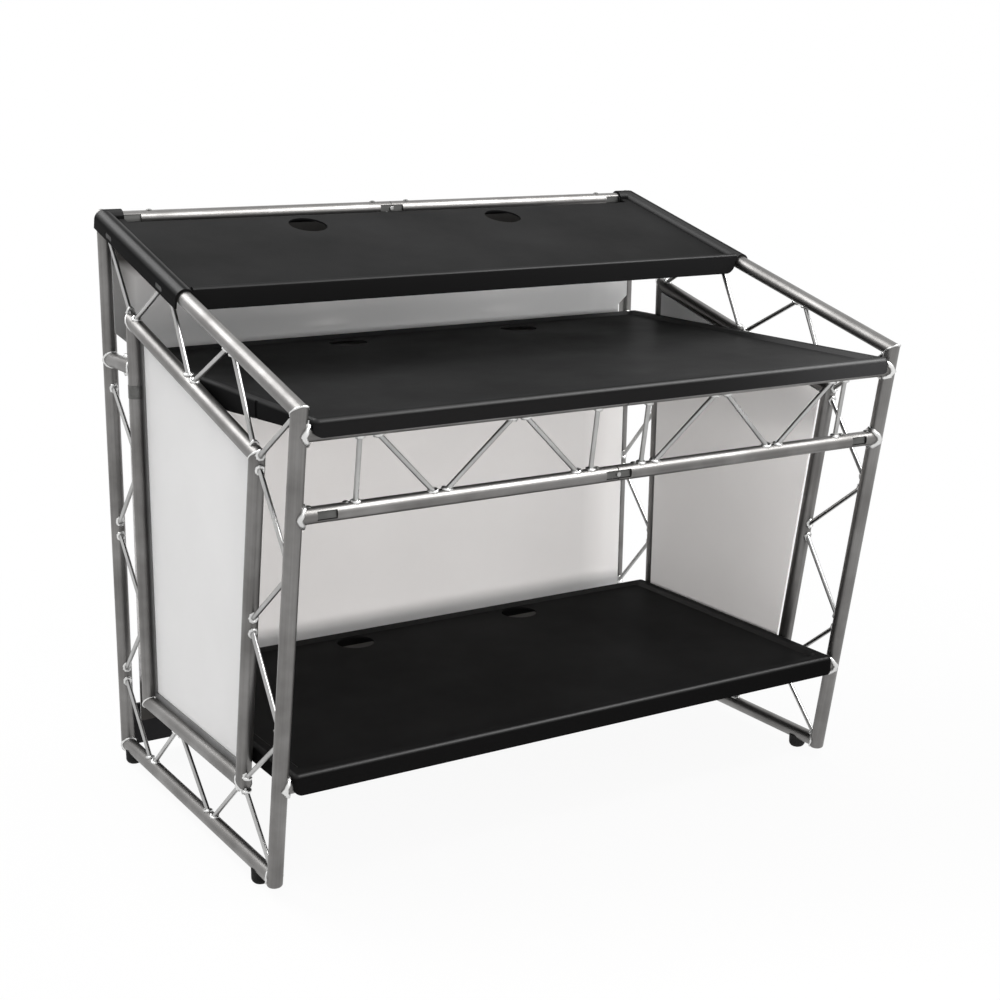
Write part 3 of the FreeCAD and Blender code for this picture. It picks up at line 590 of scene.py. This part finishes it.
def bead(target, foot, way, bar_r, size, slide, lumps=9):
    """A lumpy ring round a bar that starts at foot; slide says how far along the bar the joint lies."""
    ring = bmesh.new()
    side = way.orthogonal().normalized()
    across = way.cross(side)
    spine = bar_r + 0.3 * size
    bmesh.ops.create_circle(ring, segments=bead_sections, radius=size)
    turn = Matrix((side, way, side.cross(way))).transposed().to_4x4()
    bmesh.ops.transform(ring, matrix=Matrix.Translation(foot + side * spine) @ turn, verts=ring.verts)
    bmesh.ops.spin(ring, geom=ring.verts[:] + ring.edges[:], cent=foot, axis=way, angle=math.tau, steps=bead_steps,
                   use_merge=True)
    bmesh.ops.remove_doubles(ring, verts=ring.verts, dist=1e-6)
    phase = random.uniform(0, math.tau)
    for vert in ring.verts:
        arm = vert.co - foot
        outwards = (arm - way * arm.dot(way)).normalized()
        angle = math.atan2(outwards.dot(across), outwards.dot(side))
        swell = 1 + 0.22 * math.sin(lumps * angle + phase) + random.uniform(-0.08, 0.08)
        along = slide(outwards * bar_r * bead_sink)
        vert.co = foot + outwards * spine + (arm - outwards * spine) * swell + way * along
    bmesh.ops.recalc_face_normals(ring, faces=ring.faces)
    gather(target, ring)


def bead_on_tubes(target, foot, way, bar_r, size, lines):
    """A bead where a bar comes out of one tube, or of the two tubes of a corner."""
    bead(target, foot, way, bar_r, size, lambda offset: max(leaves_tube(way, offset, line) for line in lines))


def seam(target, corner, first, second, size):
    """A thin bead round the mitre of two tubes that leave a corner towards two points."""
    a, b = (first - corner).normalized(), (second - corner).normalized()
    normal = a - b
    bead(target, corner, a, tube_r - 0.3 * size, size, lambda offset: -offset.dot(normal) / a.dot(normal), 24)


print("bead maker ready")

# %% [markdown]
# The lacing is one zigzag. Its points lie at fixed shares of each tube's length, and where two tubes meet in a
# corner, the bead has to clear both of them. The far top corner has none, because the top tray fits closely over it.

# %% Points of the zigzag
along_tube = {name: (b - a).normalized() for name, a, b in (
    ("far", far_bottom, far_top), ("slope", far_top, near_top), ("near", near_bottom, near_top),
    ("bottom", far_bottom, near_bottom), ("in_far", in_far_bottom, in_far_top), ("in_slope", in_far_top, in_near_top),
    ("in_near", in_near_bottom, in_near_top), ("in_bottom", in_far_bottom, in_near_bottom))}
FT, NT, NB = (far_top, ("far", "slope")), (near_top, ("slope", "near")), (near_bottom, ("near", "bottom"))
IFT, INB = (in_far_top, ("in_far", "in_slope")), (in_near_bottom, ("in_near", "in_bottom"))
INT = (in_near_top - along_tube["in_near"] * 0.008, ("in_near",))


def share(a, b, fraction, tube):
    return a.lerp(b, fraction), (tube,)


slope_0, slope_1 = [share(far_top, near_top, f, "slope") for f in (0.375, 0.702)]
near_0, near_1 = [share(near_bottom, near_top, f, "near") for f in (0.678, 0.320)]
bottom_0, bottom_1 = [share(far_bottom, near_bottom, f, "bottom") for f in (0.193, 0.611)]
far_0, far_1, far_2 = [share(far_bottom, far_top, f, "far") for f in (0.145, 0.432, 0.710)]
in_far_0, in_far_1 = [share(in_far_bottom, in_far_top, f, "in_far") for f in (0.227, 0.635)]
in_slope_mid = share(in_far_top, in_near_top, 0.50, "in_slope")
in_near_mid = share(in_near_bottom, in_near_top, 0.509, "in_near")
in_bottom_mid = share(in_far_bottom, in_near_bottom, 0.345, "in_bottom")
zigzag = [[FT, IFT, slope_0, in_slope_mid, slope_1, INT, NT], [INT, near_0, in_near_mid, near_1, INB, NB],
          [INB, bottom_1, in_bottom_mid, bottom_0, far_0], [far_0, in_far_0, far_1, in_far_1, far_2]]


print("zigzag bars", sum(len(chain) - 1 for chain in zigzag))


# %% Tube sockets and rungs
def level(a, b, height):
    """The point of a tube's axis at a height."""
    return crossing((a, b), (point(0, height), point(-1, height)))


main_level, truss_level, lower_level, far_lower_level, far_main_depth = 0.951, 0.795, 0.241, 0.195, -0.119
rung_far, rung_near = level(far_bottom, far_top, main_level), level(in_far_bottom, in_far_top, main_level)
sockets = [(level(near_bottom, near_top, height), ("near",)) for height in (main_level, truss_level, lower_level)]
sockets += [(point(far_main_depth, main_level), ("bottom",)),
            (level(in_far_bottom, in_far_top, far_lower_level), ("in_far",))]


print("sockets with a bead", len(sockets))


# %% Beads of the side frames
def show(bm, name, finish, body="frame", smooth=True):
    """Turns a bmesh into a piece with a finish and a body, with no point nearer the user than the box of the solids.
    """
    for vert in bm.verts:
        vert.co.y = max(vert.co.y, cad_box[0][1])
    mesh = bpy.data.meshes.new(name)
    bm.to_mesh(mesh)
    bm.free()
    if smooth:
        mesh.shade_smooth()
    mesh.materials.append(finish)
    piece = bpy.data.objects.new(name, mesh)
    scene.collection.objects.link(piece)
    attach(piece, body)
    return piece


brace_bead, socket_bead, end_bead, seam_bead = 0.0042, 0.0065, 0.0030, 0.0022
weld_metal = metal("weld_aluminium", (0, 0, 1), (0.58, 0.58, 0.575), (0.82, 0.82, 0.81), 0.24, 0.40,
                   lines=160.0, strength=0.25)
for side_name, x in (("left", -frame_x), ("right", frame_x)):
    beads = bmesh.new()
    here = Vector((x, 0, 0))
    for chain in zigzag:
        for (a, tubes_a), (b, tubes_b) in zip(chain, chain[1:]):
            way = (b - a).normalized()
            bead_on_tubes(beads, a + here, way, brace_r, brace_bead, [along_tube[t] for t in tubes_a])
            bead_on_tubes(beads, b + here, -way, brace_r, brace_bead, [along_tube[t] for t in tubes_b])
    inwards = Vector((-x, 0, 0)).normalized()
    for foot, tubes in sockets:
        bead_on_tubes(beads, foot + here, inwards, tube_r, socket_bead, [along_tube[t] for t in tubes])
    for a, b, tube_a, tube_b in ((far_bottom, near_bottom, "far", "near"), (rung_far, rung_near, "far", "in_far")):
        way = (b - a).normalized()
        bead_on_tubes(beads, a + here, way, tube_r, end_bead, [along_tube[tube_a]])
        bead_on_tubes(beads, b + here, -way, tube_r, end_bead, [along_tube[tube_b]])
    seam(beads, near_top + here, near_bottom + here, far_top + here, seam_bead)
    for i in range(4):
        seam(beads, inner[i] + here, inner[i - 1] + here, inner[(i + 1) % 4] + here, seam_bead)
    piece = show(beads, side_name + "_weld_beads", weld_metal)
    print(piece.name, "faces", len(piece.data.polygons))

# %% Beads of the near truss
truss_high, truss_low, cross_way = sockets[0][0], sockets[1][0], Vector((1, 0, 0))
truss_beads = bmesh.new()
truss_bars = [(0.061, 0.061), (0.578, 0.578), (0.556, 0.402), (0.242, 0.402), (0.242, 0.080)]
for side in (-1, 1):
    for high_x, low_x in truss_bars:
        high = truss_high + Vector((side * high_x, 0, 0))
        low = truss_low + Vector((side * low_x, 0, 0))
        way = (low - high).normalized()
        bead_on_tubes(truss_beads, high, way, brace_r, brace_bead, [cross_way])
        bead_on_tubes(truss_beads, low, -way, brace_r, brace_bead, [cross_way])
piece = show(truss_beads, "truss_weld_beads", weld_metal)
print(piece.name, "faces", len(piece.data.polygons))

# %% [markdown]
# ## A sleeve
# On the left, a thin sleeve is pushed over the inner far upright, a little below the rung. Its section is a small
# rectangle that is spun round the tube's axis; a bevel takes the sharp edges off.

# %% Sleeve on the left inner far upright
sleeve_low, sleeve_high, sleeve_r = 0.888, 0.917, tube_r + 0.0014
low = level(in_far_bottom, in_far_top, sleeve_low) + Vector((-frame_x, 0, 0))
high = level(in_far_bottom, in_far_top, sleeve_high) + Vector((-frame_x, 0, 0))
way = (high - low).normalized()
side = way.orthogonal().normalized()
sleeve = bmesh.new()
corners = [sleeve.verts.new(end + side * radius) for end, radius in
           ((low, tube_r), (low, sleeve_r), (high, sleeve_r), (high, tube_r))]
edges = [sleeve.edges.new((a, b)) for a, b in zip(corners, corners[1:] + corners[:1])]
bmesh.ops.spin(sleeve, geom=corners + edges, cent=low, axis=way, angle=math.tau, steps=40, use_merge=True)
bmesh.ops.remove_doubles(sleeve, verts=sleeve.verts, dist=1e-6)
bmesh.ops.recalc_face_normals(sleeve, faces=sleeve.faces)
rims = [e for e in sleeve.edges if e.is_manifold and e.calc_face_angle() > 1.0]
bmesh.ops.bevel(sleeve, geom=rims, offset=0.0004, offset_type="OFFSET", affect="EDGES", segments=2, profile=0.5,
                material=-1)
piece = show(sleeve, "left_upright_sleeve", hinge_metal, "frame")
print(piece.name, "faces", len(piece.data.polygons))

# %% [markdown]
# ## Dark blocks in the top tray's side slots
# Each channel of the top tray has two short slots in its outer wall, with a dark grey block in each as painted
# shade: it stands for the tube in shadow seen through the slot. A block is flat, and its upright corners are
# bevelled until its ends are round. It is made flat and then tilted like the tray.

# %% Slot blocks of painted shade
up_slope = far_top - near_top
tray_frame = Matrix.Translation(far_top) @ Matrix.Rotation(math.atan2(up_slope.z, up_slope.y), 4, "X")
# Painted shade: a dark grey that stands for the shadowed tube seen through each slot.
slot_shade_grey = plastic("slot_shade_grey", (0.022, 0.022, 0.022), (0.034, 0.034, 0.034), smooth=0.45, rough=0.6,
                   grain=600.0, strength=0.2, depth=0.0003, cloud_size=30.0, gloss=0.3)
pads = bmesh.new()
pad_size, pad_x, pad_drop, pad_round = (0.0016, 0.0365, 0.0098), 0.7194, -0.009, 0.0047
for side in (-1, 1):
    for down_slope in (0.089, 0.386):
        pad = bmesh.new()
        bmesh.ops.create_cube(pad, size=1.0)
        bmesh.ops.scale(pad, vec=pad_size, verts=pad.verts)
        ends = [e for e in pad.edges if abs(e.verts[0].co.x - e.verts[1].co.x) > 0.001]
        bmesh.ops.bevel(pad, geom=ends, offset=pad_round, offset_type="OFFSET", affect="EDGES", segments=6,
                        profile=0.5, material=-1)
        bmesh.ops.translate(pad, vec=(side * pad_x, -down_slope, pad_drop), verts=pad.verts)
        bmesh.ops.transform(pad, matrix=tray_frame, verts=pad.verts)
        gather(pads, pad)
piece = show(pads, "top_tray_slot_shade_blocks", slot_shade_grey, "top_tray", smooth=False)
print(piece.name, "faces", len(piece.data.polygons))

# %% [markdown]
# ## Pin heads
# The hinge pins end in low domed heads where nothing lies on the tube: on the lower truss tube and the far top tube.
# A head is half a sphere, pressed flat, with its foot sunk into the tube.

# %% Domed heads
heads = bmesh.new()
centre_pin, tube_pin, socket_pin = 0.045, 0.597, 0.672
head_r, head_flat, head_rim, head_sink = 0.0066, 0.42, -0.001, 0.0022
tube_places = (-tube_pin, -centre_pin, centre_pin, tube_pin)
head_places = [(truss_low, x) for x in (-socket_pin, *tube_places, socket_pin)]
head_places += [(far_top, x) for x in tube_places]
for axis_point, x in head_places:
    head = bmesh.new()
    bmesh.ops.create_uvsphere(head, u_segments=18, v_segments=10, radius=head_r)
    bmesh.ops.bisect_plane(head, geom=head.verts[:] + head.edges[:] + head.faces[:], plane_co=(0, 0, head_rim),
                           plane_no=(0, 0, -1), clear_outer=True)
    bmesh.ops.scale(head, vec=(1, 1, head_flat), verts=head.verts)
    rim = [e for e in head.edges if e.is_boundary]
    foot = bmesh.ops.extrude_edge_only(head, edges=rim)["geom"]
    foot_verts = [v for v in foot if isinstance(v, bmesh.types.BMVert)]
    bmesh.ops.translate(head, vec=(0, 0, -head_sink), verts=foot_verts)
    bmesh.ops.holes_fill(head, edges=[e for e in head.edges if e.is_boundary], sides=0)
    bmesh.ops.recalc_face_normals(head, faces=head.faces)
    bmesh.ops.translate(head, vec=axis_point + Vector((x, 0, tube_r)), verts=head.verts)
    gather(heads, head)
piece = show(heads, "hinge_pin_heads", hinge_metal, "frame")
print(piece.name, "faces", len(piece.data.polygons))

# %% [markdown]
# ## Bolts in the centre links
# Each centre link shows a bolt head on the user's side, in the slot between the two half tubes. It is a six-sided
# prism with a bevelled front edge, and it stays inside the round of the tube.

# %% Bolt heads
bolts = bmesh.new()
link_face, bolt_r, bolt_height, bolt_edge, bolt_sink = 0.0114, 0.0052, 0.0036, 0.0007, 0.0002
bolt_out = link_face + bolt_height / 2 - bolt_sink
for axis_point in [far_top] + [foot for foot, tubes in sockets]:
    bolt = bmesh.new()
    bmesh.ops.create_cone(bolt, cap_ends=True, segments=6, radius1=bolt_r, radius2=bolt_r, depth=bolt_height)
    front = [e for e in bolt.edges if all(v.co.z > 0 for v in e.verts)]
    bmesh.ops.bevel(bolt, geom=front, offset=bolt_edge, offset_type="OFFSET", affect="EDGES", segments=2,
                    profile=0.5, material=-1)
    bmesh.ops.rotate(bolt, cent=(0, 0, 0), matrix=Matrix.Rotation(math.pi / 2, 3, "X"), verts=bolt.verts)
    bmesh.ops.translate(bolt, vec=axis_point - Vector((0, bolt_out, 0)), verts=bolt.verts)
    gather(bolts, bolt)
piece = show(bolts, "centre_link_bolts", brace_metal, "frame", smooth=False)
print(piece.name, "faces", len(piece.data.polygons))

# %% [markdown]
# ## The box of the solids
# The box of the solids is printed; nothing added here may make the booth larger.

# %% Finish
print("cad box", [[round(c, 4) for c in v] for v in cad_box])
